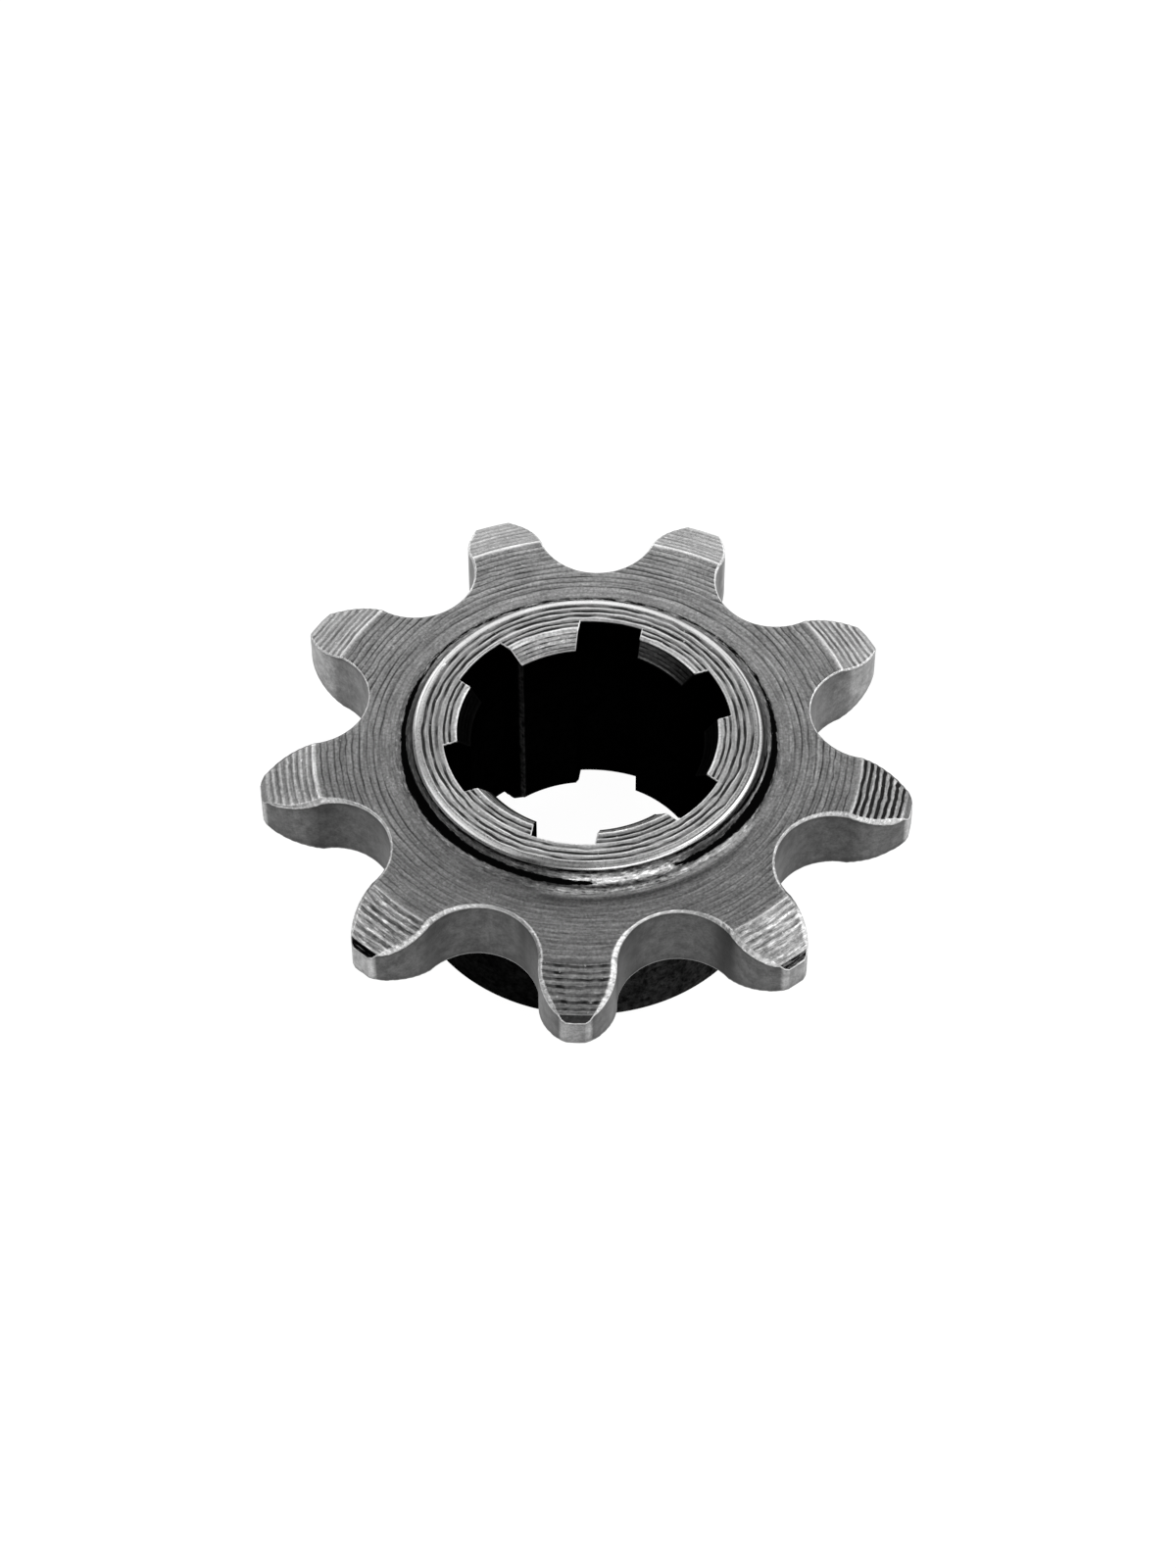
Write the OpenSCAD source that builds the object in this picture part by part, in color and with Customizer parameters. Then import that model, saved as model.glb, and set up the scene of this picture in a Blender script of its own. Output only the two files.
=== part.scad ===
// Front sprocket for a roller chain, machined in one piece.
// A toothed plate with beveled teeth, a short boss above it, a longer hub below it and a splined bore through all three.
// The axis is Z. The hub's end face stands on Z = 0 and the boss is on top. One tooth points along -Y.

/* [Chain] */
// Distance between two pins of the chain
chain_pitch = 12.7; // [12.4:0.1:14]
// Diameter of the chain's rollers
roller_d = 7.75; // [7.2:0.05:8.2]
// Play of a roller in its seat, on the radius
roller_clearance = 0.01; // [0:0.01:0.12]

/* [Teeth] */
// Number of teeth
tooth_count = 9; // [9:1:14]
// Height of the tooth tips above the pitch circle
tip_rise = 2.73; // [2.2:0.01:3]
// Half of the angle that a seat's arc spans, seen from the middle of the seat
seat_half_angle = 72; // [68:0.5:74]
// Radius of the rounded tooth flank above the seat
flank_r = 4.5; // [4.2:0.05:6]
// Distance from the tooth tips to the line where the bevel starts
bevel_w = 3.56; // [2.6:0.02:4.2]
// Depth of the bevel at its outer end
bevel_depth = 1.2; // [0.6:0.02:1.5]
// Width of the steep edge between the bevel and the tooth tip
tip_edge_w = 0.36; // [0.2:0.02:0.6]
// Depth of that steep edge
tip_edge_depth = 0.5; // [0.2:0.02:0.7]

/* [Plate] */
// Thickness of the toothed plate
plate_t = 5.15; // [4.6:0.05:6]

/* [Boss] */
// Diameter of the boss on top
boss_d = 22.6; // [21:0.1:23]
// Height of the boss above the plate
boss_h = 1.22; // [1.22:0.02:3]
// Width of the sloping band at the rim of the boss
boss_band_w = 0.5; // [0.2:0.05:0.8]
// Drop of that band at the rim
boss_band_drop = 0.1; // [0.05:0.01:0.11]
// Radius of the hollow corner between boss and plate
boss_fillet = 1.1; // [0.4:0.05:1.1]

/* [Hub] */
// Diameter of the hub below the plate
hub_d = 24; // [22.6:0.1:25]
// Length of the hub below the plate
hub_len = 9.25; // [5:0.25:16]
// Size of the chamfer at the hub's end
hub_chamfer = 0.95; // [0.3:0.05:1.5]
// Radius of the hollow corner between hub and plate
hub_fillet = 0.6; // [0.3:0.05:1]

/* [Splined bore] */
// Number of splines
spline_count = 6; // [6:2:8]
// Diameter across the bottoms of the grooves
major_d = 18.7; // [18:0.1:19.4]
// Diameter across the lands
minor_d = 15.1; // [14.6:0.1:16]
// Width of a groove between its two parallel walls
groove_w = 4.08; // [3.2:0.02:4.4]
// Size of the chamfer at both ends of the lands
land_chamfer = 0.95; // [0.3:0.05:1.1]
// Angle from the gap opposite the front tooth to the nearest groove
spline_turn = -7.75; // [-15:0.25:15]

/* [Hidden] */
$fn = 96;
over = 1;
bite = 0.01;
pitch_r = chain_pitch / (2 * sin(180 / tooth_count));
tip_r = pitch_r + tip_rise;
seat_r = roller_d / 2 + roller_clearance;
step = 360 / tooth_count;
// The seat's arc ends and the flank's arc starts at this point, in the frame of one gap that lies along X
turn_x = pitch_r - seat_r * cos(seat_half_angle);
turn_y = seat_r * sin(seat_half_angle);
core_r = sqrt(turn_x * turn_x + turn_y * turn_y);
// The middle of the flank's arc. It comes closer by the bite, so that the two arcs cross instead of just touching
flank_x = pitch_r - (seat_r + flank_r - bite) * cos(seat_half_angle);
flank_y = (seat_r + flank_r - bite) * sin(seat_half_angle);
boss_r = boss_d / 2;
hub_r = hub_d / 2;
major_r = major_d / 2;
minor_r = minor_d / 2;
bottom_z = hub_len;
top_z = hub_len + plate_t;
face_z = top_z + boss_h;
bevel_r = tip_r - bevel_w;
edge_r = tip_r - tip_edge_w;
side_depth = bevel_depth + tip_edge_depth;

// Half of the turned section without its hollow corners, as radius and height
module turned_section() {
  polygon([
    [0, 0],
    [hub_r - hub_chamfer, 0],
    [hub_r, hub_chamfer],
    [hub_r, bottom_z],
    [bevel_r, bottom_z],
    [edge_r, bottom_z + bevel_depth],
    [tip_r, bottom_z + side_depth],
    [tip_r, top_z - side_depth],
    [edge_r, top_z - bevel_depth],
    [bevel_r, top_z],
    [boss_r, top_z],
    [boss_r, face_z - boss_band_drop],
    [boss_r - boss_band_w, face_z],
    [0, face_z]
  ]);
}

// Hollow corner of radius r, added where a wall going up at X = 0 meets a floor at Y = 0
module hollow_corner(r) {
  difference() {
    translate([-over / 2, -over / 2]) square([r + over / 2, r + over / 2]);
    translate([r, r]) circle(r);
  }
}

// The turned blank: hub, plate with the bevels of the teeth, and boss
module blank() {
  rotate_extrude() {
    turned_section();
    translate([boss_r, top_z]) hollow_corner(boss_fillet);
    translate([hub_r, bottom_z]) mirror([0, 1]) hollow_corner(hub_fillet);
  }
}

// One tooth in plan, along the line from the axis through the middle of the tooth on X
module tooth_plan() {
  intersection() {
    rotate(-step / 2) translate([flank_x, flank_y]) circle(flank_r);
    rotate(step / 2) translate([flank_x, -flank_y]) circle(flank_r);
  }
}

// The toothed outline in plan, with a tooth along -Y
module toothed_plan() {
  difference() {
    union() {
      circle(core_r);
      for (i = [0:tooth_count - 1]) rotate(i * step - 90) tooth_plan();
    }
    for (i = [0:tooth_count - 1]) rotate((i + 0.5) * step - 90) translate([pitch_r, 0]) circle(seat_r);
  }
}

// The splined hole in plan
module spline_plan() {
  circle(minor_r);
  intersection() {
    circle(major_r);
    for (i = [0:spline_count / 2 - 1]) rotate(90 + spline_turn + i * 360 / spline_count) square([major_d + over, groove_w], center = true);
  }
}

// The bore: splined along its length, with the ends of the lands chamfered
module bore() {
  translate([0, 0, -over]) linear_extrude(face_z + 2 * over) spline_plan();
  translate([0, 0, -over]) cylinder(h = land_chamfer + over, r1 = minor_r + land_chamfer + over, r2 = minor_r);
  translate([0, 0, face_z - land_chamfer]) cylinder(h = land_chamfer + over, r1 = minor_r, r2 = minor_r + land_chamfer + over);
}

module sprocket() {
  color("silver")
  difference() {
    intersection() {
      blank();
      translate([0, 0, -over]) linear_extrude(face_z + 2 * over) toothed_plan();
    }
    bore();
  }
}

sprocket();
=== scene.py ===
"""The looks of a front sprocket: one closed steel mesh with tool marks, broken edges, and painted shade in
the bore.
"""

import itertools
import math
from collections import namedtuple

import bpy
import numpy as np
from mathutils import Matrix, Vector


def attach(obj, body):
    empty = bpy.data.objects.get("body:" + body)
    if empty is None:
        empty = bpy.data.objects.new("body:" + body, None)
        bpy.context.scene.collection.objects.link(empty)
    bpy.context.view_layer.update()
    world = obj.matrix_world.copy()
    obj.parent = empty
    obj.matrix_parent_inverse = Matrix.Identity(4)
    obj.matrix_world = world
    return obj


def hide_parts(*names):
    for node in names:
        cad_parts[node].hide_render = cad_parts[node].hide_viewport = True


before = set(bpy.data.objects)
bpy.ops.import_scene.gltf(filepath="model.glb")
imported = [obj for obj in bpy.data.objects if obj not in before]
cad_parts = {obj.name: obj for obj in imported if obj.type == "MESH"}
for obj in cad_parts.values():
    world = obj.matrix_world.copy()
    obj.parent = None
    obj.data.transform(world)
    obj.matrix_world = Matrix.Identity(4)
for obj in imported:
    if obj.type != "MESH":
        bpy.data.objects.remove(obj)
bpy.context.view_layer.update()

# Lengths are in millimetres up to the mesh itself, which is in metres
MM = 0.001
rng = np.random.default_rng(23)

# Chain and teeth
CHAIN_PITCH = 12.7
SEAT_R = 3.885
TEETH = 9
TIP_RISE = 2.73
SEAT_HALF_ANGLE = math.radians(72)
FLANK_R = 4.5
BEVEL_W = 3.56
BEVEL_DEPTH = 1.2
TIP_EDGE_W = 0.36
TIP_EDGE_DEPTH = 0.5

# Plate, boss and hub
PLATE_T = 5.15
BOSS_R = 11.3
BOSS_H = 1.22
BAND_W = 0.5
BAND_DROP = 0.1
BOSS_FILLET = 1.1
HUB_R = 12.0
HUB_LEN = 9.25
HUB_CHAMFER = 0.95
HUB_FILLET = 0.6

# Splined bore
SPLINES = 6
MAJOR_R = 9.35
MINOR_R = 7.55
GROOVE_HALF = 2.04
LAND_CHAMFER = 0.95
FIRST_GROOVE = math.radians(82.25)

# Broken edges of the teeth and of the bore
ROOT_EDGE = 0.19
SIDE_EDGE = 0.3
TIP_EDGE = 0.06
LOW_EDGE = 0.24
BORE_EDGE = 0.08
LOW_TIP = 0.2
CORNER = 0.28
EDGE_ANGLES = np.radians([22, 68, 90])
EDGE_STEPS = len(EDGE_ANGLES)

# Columns of the mesh round the part
TOOTH_COLUMNS = 28
COLUMNS = TEETH * TOOTH_COLUMNS
SPLINE_COLUMNS = COLUMNS // SPLINES
GROOVE_COLUMNS = 18
LAND_COLUMNS = SPLINE_COLUMNS - GROOVE_COLUMNS

# The tool marks of each cut: from one to the next, and how deep they are
PLATE_CUT = (0.42, 0.018)
BEVEL_CUT = (0.45, 0.035)
FACE_CUT = (0.44, 0.04)
LAND_CUT = (0.42, 0.04)
CONE_CUT = (0.26, 0.012)
HUB_CUT = (1.1, 0.012)
HUB_CHAMFER_CUT = (0.5, 0.01)
HUB_FACE_CUT = (0.46, 0.02)

# How the marks run out of true: bumps along one row, and their size
TOOTH_WOBBLE = (9, 0.028)
RING_WOBBLE = (80, 0.026)
LAND_WOBBLE = (7, 0.016)

# The tips of the skin stay this far inside those of the solid
TIP_PLAY = 0.003

# Worked out from the sizes above
TOOTH_STEP = 2 * math.pi / TEETH
SPLINE_STEP = 2 * math.pi / SPLINES
PITCH_R = CHAIN_PITCH / (2 * math.sin(math.pi / TEETH))
TIP_R = PITCH_R + TIP_RISE - TIP_PLAY
ROOT_R = PITCH_R - SEAT_R
FLANK_REACH = SEAT_R + FLANK_R
FLANK_X = PITCH_R - FLANK_REACH * math.cos(SEAT_HALF_ANGLE)
FLANK_Y = FLANK_REACH * math.sin(SEAT_HALF_ANGLE)
BEVEL_R = TIP_R - BEVEL_W
TIP_EDGE_R = TIP_R - TIP_EDGE_W
PLATE_Z = HUB_LEN + PLATE_T
FACE_Z = PLATE_Z + BOSS_H

# Brightness of each surface as cut, how far its tool marks darken it, and how polished it is
Look = namedtuple("Look", "tone mark shine")
PLATE = Look(0.248, 0.88, 0.0)
BEVEL = Look(0.3, 1.0, 0.1)
TIP_SKIN = Look(0.27, 0.0, 0.0)
# A painted highlight along the line where the bevel starts, brighter on some teeth
CREST = Look(0.42, 0.0, 0.4)
WALL = Look(0.118, 0.0, 0.0)
ROUND = Look(0.198, 0.0, 0.3)
BAND = Look(0.67, 0.0, 0.9)
# A thin line of painted shade on the boss's face beside the rim band
SHADE_LINE = Look(0.126, 0.0, 0.5)
FACE = Look(0.445, 1.4, 0.5)
CONE = Look(0.285, 1.3, 0.3)
# The bore and the hub are painted near black, as painted shade
BORE = Look(0.001, 0.0, 0.0)
HUB = Look(0.0165, 0.5, 0.0)
# The lip between a land and its chamfer: worn bright steel with a painted highlight
LIP = Look(0.62, 0.0, 0.2)
# Top broken edges: worn bright steel with a painted highlight
BROKEN = Look(0.65, 0.0, -0.8)
LOW_BROKEN = Look(0.2, 0.0, -0.8)

# The bevels differ from tooth to tooth, counterclockwise from the front one: how strongly the tool marks
# show, how narrow they are, how far painted light and shade brighten or darken the steel, how torn its skin
# is, how bright the painted highlight is where the bevel starts, and how much residue covers the steep edge
# at the tip and how far painted light and shade brighten or darken the steel there
BEVEL_MARKS = (1.0, 0.55, 1.55, 0.75, 0.3, 0.3, 0.6, 0.6, 0.75)
BEVEL_NARROW = (0.6, 0.55, 0.2, 0.2, 0.3, 0.3, 0.3, 0.3, 0.6)
BEVEL_LIGHT_AND_SHADE = (1.06, 1.31, 0.83, 1.02, 0.96, 0.92, 0.97, 1.4, 0.89)
BEVEL_TORN = (0.3, 0.75, 0.5, 0.15, 0.0, 0.0, 0.15, 0.15, 0.95)
CREST_HIGHLIGHTS = (0.5, 0.9, 0.8, 1.1, 1.1, 1.1, 1.1, 1.75, 0.8)
TIP_SOOT = (0.0, 0.6, 0.2, 0.0, 0.0, 0.0, 0.0, 0.0, 0.74)
TIP_LIGHT_AND_SHADE = (0.15, 0.8, 0.7, 1.0, 1.0, 1.0, 1.0, 1.0, 0.8)

# The black painted shade in the corner round the boss: azimuth in degrees, and from where to where it lies
# between the rim (0) and the plate (1)
CORNER_SHADE_BAND = (
    (-180, 0.62, 0.81), (-158, 0.44, 0.83), (-136, 0.42, 0.79), (-113, 0.42, 0.68), (-97, 0.47, 0.68),
    (-86, 0.54, 0.6), (-60, 0.54, 0.6), (-47, 0.54, 0.73), (-24, 0.5, 0.91), (-2, 0.66, 0.92),
    (11, 0.77, 0.92), (30, 0.92, 0.96), (145, 0.92, 0.96), (158, 0.78, 0.86), (168, 0.7, 0.81),
    (180, 0.63, 0.8))

# Stretches round the part, in degrees of azimuth: from, to, and how softly each ends
# Painted shade and a painted highlight on the boss's rim band
RIM_SHADE_FRONT = (-106, -90, 8)
RIM_HIGHLIGHT = (-82, -40, 12)
RIM_SHADE_LEFT = (-175, -108, 8)
RIM_SHADE_BACK = (-12, 140, 20)
# Where the boss's line of painted shade is darkest
RIM_LINE_SHADE = (-45, 25, 20)
# Painted light on the front of the boss face
FACE_LIT_FRONT = (-150, -40, 30)
# A painted highlight and painted shade on the plate next to the corner
PLATE_HIGHLIGHT = (-95, -38, 12)
PLATE_SHADE = (-135, -60, 30)
# Painted light and shade in the corner round the boss
CORNER_LEFT = (-176, -86, 10)
CORNER_HIGHLIGHT = (-90, -66, 14)
CORNER_LIT = (-80, -66, 14)
CORNER_RIGHT = (-52, -8, 18)
CORNER_DIM = (-20, 60, 20)
CORNER_BACK = (20, 150, 15)
# Painted shade on the hub
HUB_DEEPEST_SHADE = (-160, -96, 12)
# Painted light on the land chamfers
LAND_LIT_FRONT = (-152, -40, 8)
LAND_LIT_BACK = (92, 135, 10)
# A painted highlight on the lip of the back left lands
LIP_HIGHLIGHT = (80, 140, 5)
# Where the bore's edge keeps its brightness over the chamfers, as painted light
BORE_EDGE_LIT = (96, 129, 3)
# Strips of painted shade on the cut sides, and a tooth end with painted light
STRIP_RIGHT = (-66, -50, 3)
STRIP_LEFT = (-172, -150, 5)
STRIP_FAR_RIGHT = (-32, -14, 5)
LIGHT_TIP = (-136, -124, 3)
WIDE_EDGE = (-88, -79, 2)
# A painted highlight on the front tooth's right broken edge
EDGE_HIGHLIGHT = (-88, -72, 4)

# Rings of painted highlight and painted shade on the plate round the corner, radii in millimetres: from,
# to, and how softly each ends
LIGHT_RING = (12.4, 12.6, 0.12)
DARK_RING = (12.85, 13.0, 0.12)
WIDE_SHADE_RING = (12.9, 13.5, 1.1)

# The rows of the corner round the boss, by their place between its rim (0) and the plate (1)
CORNER_PLACES = (
    1.0, 0.97, 0.91, 0.85, 0.79, 0.73, 0.67, 0.61, 0.55, 0.49, 0.42, 0.35, 0.28, 0.21, 0.14, 0.07)

# How much brighter the ends of the teeth are painted than their sides, as painted light, and the upright
# edges of those ends than the ends themselves, as a painted highlight
TIP_SHADE = 2.9
TIP_CORNER = 1.3

# How torn the broken edges of the teeth are, and the tones of the painted highlight down one corner of the
# lands in the bore
EDGE_TORN = 0.45
LAND_CORNER_HIGHLIGHT = [0.05, 0.07, 0.07, 0.045, 0.02]

# Rows down the walls of the teeth and of the bore: where each lies between the top (0) and the underside
# (1), and how bright it is painted. The walls of the teeth are darker next to their broken edges, and the
# walls of the bore darker at the top than below, as painted light and shade. The first and the last row keep
# this margin from the broken edges.
WALL_MARGIN = 0.04
OUTER_HEIGHTS = ((0.0, 0.68), (0.07, 0.96), (0.5, 1.04), (0.88, 0.94), (1.0, 0.7))
BORE_HEIGHTS = ((0.0, 0.2), (0.02, 0.2), (0.3, 0.5), (0.7, 1.2), (1.0, 1.2))

# The three steels, in the order of the mesh's materials; the last is painted near black, as painted shade
TURNED, MILLED, PAINTED_DARK = 0, 1, 2

# One turned circle: where it lies, how far the tool sank there, how deep in a tool mark it is, its look, the
# number of its tool mark, and its place between the rim of the boss (0) and the plate (1)
Row = namedtuple("Row", "radius height sink_r sink_z groove look mark place", defaults=(None, None))
mark_numbers = itertools.count()

# A tool mark across: where its points lie in the space from one mark to the next, and how deep each is
FINE_MARK = ((0.0, 0.1), (0.24, 1.0), (0.5, 0.1))
WIDE_MARK = ((0.0, 0.3), (0.13, 1.0), (0.46, 1.0), (0.66, 0.0))

# What each point of the mesh tells its material
LABELS = ("tone", "groove", "shine", "torn", "residue_and_shade")

# Faces that meet at more than this angle are shaded with a sharp edge
SHARP_ANGLE = math.radians(34)


def smooth_step(part):
    part = np.clip(part, 0, 1)
    return part * part * (3 - 2 * part)


def window(value, low, high, soft):
    """1 between low and high, falling to 0 over the soft width outside."""
    return smooth_step((value - low) / soft + 1) * smooth_step((high - value) / soft + 1)


def azimuth(angle):
    """Degrees round the axis from +X, -180 to 180."""
    return (np.degrees(angle) + 180) % 360 - 180


def angle_of(points):
    return np.arctan2(points[:, 1], points[:, 0])


def radius_of(points):
    return np.hypot(points[:, 0], points[:, 1])


def direction(angle):
    return np.array([math.cos(angle), math.sin(angle)])


def from_front(angle):
    """Degrees round the axis from the front tooth, 0 to 180."""
    return np.abs((np.degrees(angle) + 90 + 180) % 360 - 180)


def smooth_noise(count, points, size):
    """Values along a closed line that change gently, about one bump for each of the given points."""
    knots = rng.normal(0, size, points)
    place = np.arange(count) * points / count
    before = np.floor(place).astype(int)
    ease = smooth_step(place - before)
    return knots[before % points] * (1 - ease) + knots[(before + 1) % points] * ease


def turned(start, end, cut, look, inward=1, mark=FINE_MARK, faintest=0.8):
    """Rows across a turned face from start up to end, both (radius, height), with a cut's tool marks."""
    pitch, depth = cut
    start, end = np.array(start, float), np.array(end, float)
    length = np.linalg.norm(end - start)
    along = (end - start) / length
    across = np.array([-along[1], along[0]]) * inward
    count = max(1, round(length / pitch))
    widths = 1 + rng.uniform(-0.14, 0.14, count)
    edges = np.concatenate([[0], np.cumsum(widths)]) / widths.sum() * length
    rows = []
    for left, right in zip(edges[:-1], edges[1:]):
        strength = rng.uniform(faintest, 1.0)
        number = next(mark_numbers)
        for part, groove in mark:
            point = start + along * (left + (right - left) * part)
            sink = across * depth * groove * strength
            rows.append(Row(*point, *sink, groove * strength * look.mark, look, number))
    return rows


def plain(points, look):
    """Rows at the given (radius, height) points, with no tool marks."""
    return [Row(r, z, 0, 0, 0, look) for r, z in points]


def mirrored(rows, top, bottom, looks=None):
    """The same rows on the other side of the part, with some looks changed."""
    looks = looks or {}
    return [
        row._replace(
            height=bottom + top - row.height, sink_z=-row.sink_z, look=looks.get(row.look, row.look))
        for row in rows]


def wobble(store, row, count, points, size):
    """How far a tool mark runs out of its circle, the same for all rows of the mark."""
    if row.mark is None:
        return np.zeros(count)
    if row.mark not in store:
        store[row.mark] = smooth_noise(count, points, size).clip(-2 * size, 2 * size)
    return store[row.mark]


def arc_points(centre, radius, first, last, steps):
    """Points on an arc in the turned section, angles in degrees."""
    angles = np.radians(np.linspace(first, last, steps + 1))
    return [(centre[0] + radius * math.cos(a), centre[1] + radius * math.sin(a)) for a in angles]


def plate_drop(radius):
    """How far the plate's face lies below its flat part at a radius."""
    bevel = np.clip((radius - BEVEL_R) / (TIP_EDGE_R - BEVEL_R), 0, 1) * BEVEL_DEPTH
    return bevel + np.clip((radius - TIP_EDGE_R) / TIP_EDGE_W, 0, 1) * TIP_EDGE_DEPTH


def side_of_tooth(radius, inset):
    """The point on a tooth's side at a radius, on the outline moved in by the inset, and the way out of the
    metal. Both are in the frame of the gap, which lies along X."""
    for centre, reach, sign in (
        ((PITCH_R, 0.0), SEAT_R + inset, -1),
        ((FLANK_X, FLANK_Y), FLANK_R - inset, 1),
    ):
        span = math.hypot(*centre)
        turn = math.acos(np.clip((radius ** 2 + span ** 2 - reach ** 2) / (2 * radius * span), -1, 1))
        angle = math.atan2(centre[1], centre[0]) - sign * turn
        point = radius * direction(angle)
        away = (point - np.array(centre)) / reach * sign
        seat_end = math.atan2(point[1], PITCH_R - point[0])
        if sign == -1 and seat_end <= SEAT_HALF_ANGLE and radius < PITCH_R:
            return point, away
    return point, away


def turn_by(points, angle):
    c, s = math.cos(angle), math.sin(angle)
    points = np.asarray(points, float)
    return np.stack([points[..., 0] * c - points[..., 1] * s, points[..., 0] * s + points[..., 1] * c], -1)


class Skin:
    """The mesh while it grows: points in millimetres with their tone, groove, shine, torn skin, and residue
    and painted shade, and faces."""

    def __init__(self):
        self.points, self.marks, self.faces, self.steels = [], [], [], []

    def add(self, x, y, z, tone, groove, shine, torn=0.0, residue_and_shade=0.0):
        first = len(self.points)
        given = (x, y, z, tone, groove, shine, torn, residue_and_shade)
        columns = np.broadcast_arrays(*(np.asarray(v, float) for v in given))
        values = np.stack([c.ravel() for c in columns], -1).tolist()
        self.points.extend(v[:3] for v in values)
        self.marks.extend(v[3:] for v in values)
        return np.arange(first, len(self.points)).reshape(columns[0].shape)

    def sheet(self, grid, steels=TURNED):
        """Faces over a grid of point numbers, all of one steel or with one for each row of faces."""
        a, b, c, d = grid[:-1, :-1], grid[1:, :-1], grid[1:, 1:], grid[:-1, 1:]
        self.faces.extend(np.stack([a, b, c, d], -1).reshape(-1, 4).tolist())
        rows, columns = len(grid) - 1, len(grid[0]) - 1
        self.steels.extend(np.broadcast_to(np.reshape(steels, (-1, 1)), (rows, columns)).ravel().tolist())

    def band(self, loops, steels=TURNED):
        """Faces between closed loops of equal length."""
        self.sheet(np.stack([np.append(loop, loop[0]) for loop in loops]), steels)


def tooth_rows():
    """Rows over the teeth on top, from the bottom of the gaps to the tips."""
    face = PLATE_Z
    root = ROOT_R - ROOT_EDGE
    near_root = [(root + step, face) for step in (0.0, 0.012, 0.05, 0.11)]
    rows = plain(near_root, PLATE)
    flat_end = (BEVEL_R - 0.2, face)
    rows += turned((root + 0.2, face), flat_end, PLATE_CUT, PLATE, -1)
    rows += plain([flat_end], PLATE)

    def on_bevel(*radii):
        return [(r, face - plate_drop(r)) for r in radii]

    rows += plain(on_bevel(BEVEL_R - 0.09, BEVEL_R + 0.02, BEVEL_R + 0.08), CREST)
    last = TIP_EDGE_R - 0.05
    rows += turned(*on_bevel(BEVEL_R + 0.15, last), BEVEL_CUT, BEVEL, -1, WIDE_MARK, 0.9)
    rows += plain(on_bevel(last, TIP_EDGE_R), BEVEL)
    rows += plain(on_bevel(TIP_EDGE_R + 0.02, TIP_R - 0.16, TIP_R - TIP_EDGE), TIP_SKIN)
    return rows


def edge_at(radius):
    """Width of the broken edge along a tooth: wide on its sides, fine at the tip."""
    rise = smooth_step((radius - ROOT_R) / 3.0)
    fall = smooth_step((radius - TIP_R + 1.1) / 0.9)
    side = ROOT_EDGE + (SIDE_EDGE - ROOT_EDGE) * rise
    return side + (TIP_EDGE - side) * fall


def wall_shade(point):
    """The painted light and shade of the cut side at a place: its brightness, and how far it lies in the
    strip of painted shade where the seat ends."""
    angle = math.degrees(math.atan2(point[1], PITCH_R - point[0]))
    if point[0] < PITCH_R and angle < math.degrees(SEAT_HALF_ANGLE):
        return 0.8, smooth_step((angle - 40) / 28)
    flank = smooth_step((point[0] - PITCH_R + 1.2) / 1.1)
    return 0.8 + 0.28 * flank, 1 - smooth_step((point[0] - PITCH_R + 1.2) / 0.9)


def outline(rows):
    """The tooth outline as wall points and outward directions, one for each side row and each column of a
    tip. Returns points, directions, widths of the broken edge, and the painted brightness and painted shade
    of the wall, for one tooth that points along +X, going round it counterclockwise."""
    side, spans, shades = [], [], []
    for row in rows[:-1]:
        span = edge_at(row.radius)
        point, away = side_of_tooth(row.radius, span)
        shades.append(wall_shade(point))
        spans.append(span)
        side.append((point + away * span, away))
    # The gap lies half a step clockwise of the tooth
    side = [(turn_by(p, -TOOTH_STEP / 2), turn_by(n, -TOOTH_STEP / 2)) for p, n in side]
    corner_shade = (TIP_SHADE * TIP_CORNER, 0)
    shades[-1] = corner_shade
    tip_angle = -math.atan2(side[-1][0][1], side[-1][0][0])
    half = tip_angle - CORNER / TIP_R
    angles = np.linspace(-half, half, TOOTH_COLUMNS + 1)
    tip = [(TIP_R * direction(a), direction(a)) for a in angles]
    mirror = np.array([1, -1])
    corner = tip[0][1] + side[-1][1]
    tip[0] = (tip[0][0], corner / np.linalg.norm(corner))
    tip[-1] = (tip[-1][0], tip[0][1] * mirror)
    other = [(p * mirror, n * mirror) for p, n in reversed(side)]
    loop = side + tip + other[:-1]
    spans = spans + [TIP_EDGE] * len(tip) + spans[:0:-1]
    tip_shades = [corner_shade] + [(TIP_SHADE, 0)] * (len(tip) - 2) + [corner_shade]
    shades = shades + tip_shades + shades[:0:-1]
    return np.array([p for p, _ in loop]), np.array([n for _, n in loop]), np.array(spans), np.array(shades)


def plate_marks(angle):
    """How strongly the plate's tool marks show: faint at the front."""
    return 0.55 + 0.55 * smooth_step((from_front(angle) - 12) / 60)


def plate_shine(angle):
    """The front of the plate is smoother and more even."""
    return 0.14 * (1 - smooth_step((from_front(angle) - 20) / 40))


def tooth_look(row, tooth, angle, strength):
    """Tone, tool mark, shine, torn skin and residue of a row on one tooth."""
    tone, mark, shine = row.look.tone, row.groove * strength, row.look.shine
    torn = residue_and_shade = 0.0
    if row.look is PLATE:
        mark = mark * plate_marks(angle)
        shine = plate_shine(angle)
    # Painted light and shade, tooth by tooth: the highlight where the bevel starts, the steep edge at the
    # tip, and the bevel
    if row.look is CREST:
        tone *= CREST_HIGHLIGHTS[tooth]
    if row.look is TIP_SKIN:
        residue_and_shade = TIP_SOOT[tooth]
        tone *= TIP_LIGHT_AND_SHADE[tooth]
    if row.look is BEVEL:
        narrow = BEVEL_NARROW[tooth]
        mark = BEVEL_MARKS[tooth] * max(row.groove - narrow, 0) / (1 - narrow) * strength
        tone *= BEVEL_LIGHT_AND_SHADE[tooth]
        torn = BEVEL_TORN[tooth]
    return tone, mark, shine, torn, residue_and_shade


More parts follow.
